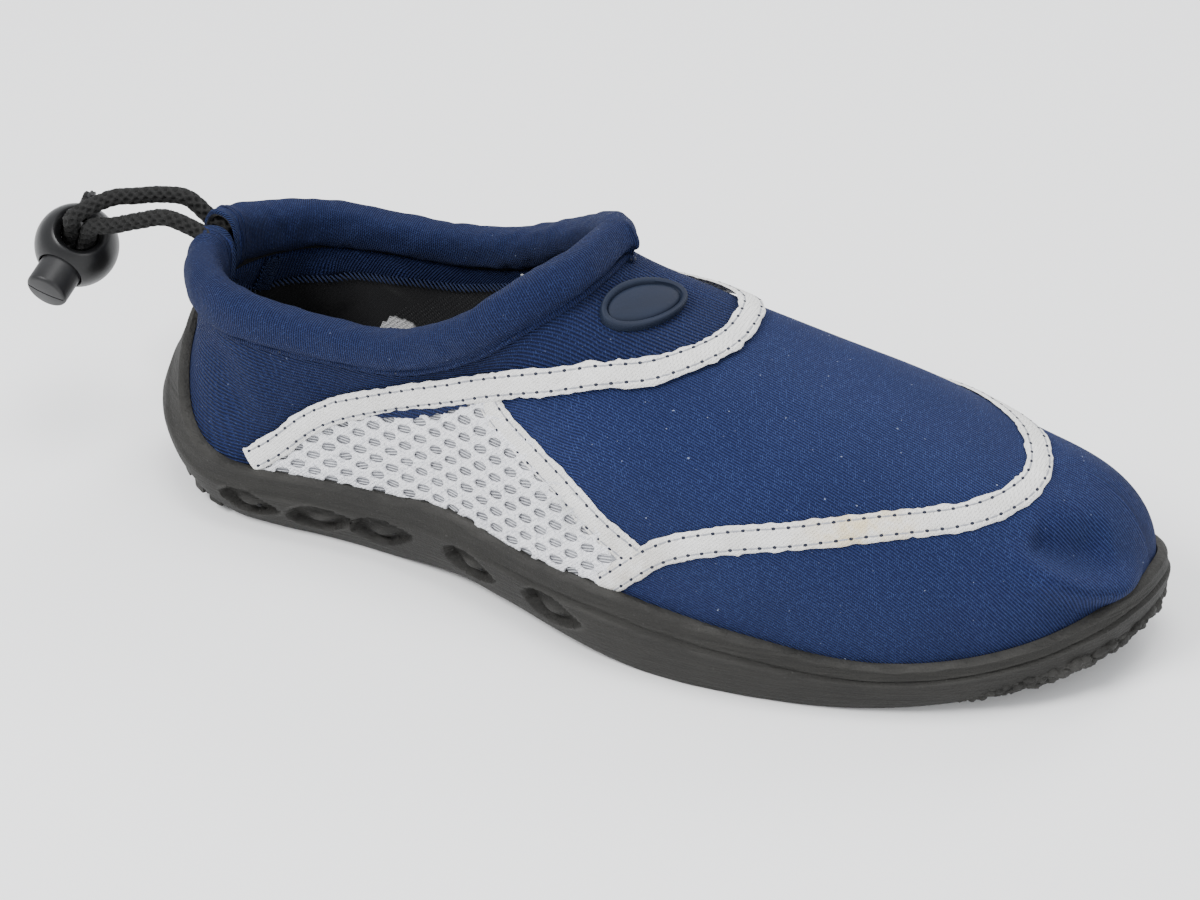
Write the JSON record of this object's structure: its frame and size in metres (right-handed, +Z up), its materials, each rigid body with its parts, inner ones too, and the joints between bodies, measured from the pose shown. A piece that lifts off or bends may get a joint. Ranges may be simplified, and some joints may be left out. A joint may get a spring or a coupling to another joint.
{
  "type": "water shoe",
  "caption": "Slip-on water shoe with a stretch upper, padded drawcord collar, mesh side panel, rubber cup sole and a ball cord lock at the heel.",
  "frame": {"origin": "on the ground, under the middle of the shoe's box without its cord and lock", "axes": "+X to the toe, +Y to the inner (medial) side, +Z up"},
  "size_m": [0.3128, 0.0976, 0.0945],
  "materials": {
    "sole_rubber": "matt charcoal moulded rubber",
    "stretch_knit": "fine ribbed navy knit over a thin foam",
    "collar_knit": "fine ribbed navy knit, padded",
    "insole_foam": "dark foam with a cloth face",
    "badge_rubber": "satin navy rubber",
    "cord_braid": "black braid",
    "lock_plastic": "satin black moulded plastic",
    "button_plastic": "satin black moulded plastic",
    "white_tape": "white woven tape",
    "white_mesh": "white open knit"
  },
  "bodies": {
    "shoe": {"outsole": "sole_rubber", "insole": "insole_foam", "upper": "stretch_knit", "collar": "collar_knit", "badge": "badge_rubber", "drawcord_lateral": "cord_braid", "drawcord_medial": "cord_braid", "cord_lock_ball": "lock_plastic"},
    "button": {"cord_lock_button": "button_plastic"}
  },
  "joints": [
    {"name": "button_press", "type": "slide", "parent": "shoe", "child": "button", "axis": [0.0115, 0.9351, 0.3543], "range_m": [0, 0.004], "stiffness_N_per_m": 600, "springref_m": -0.004}
  ]
}
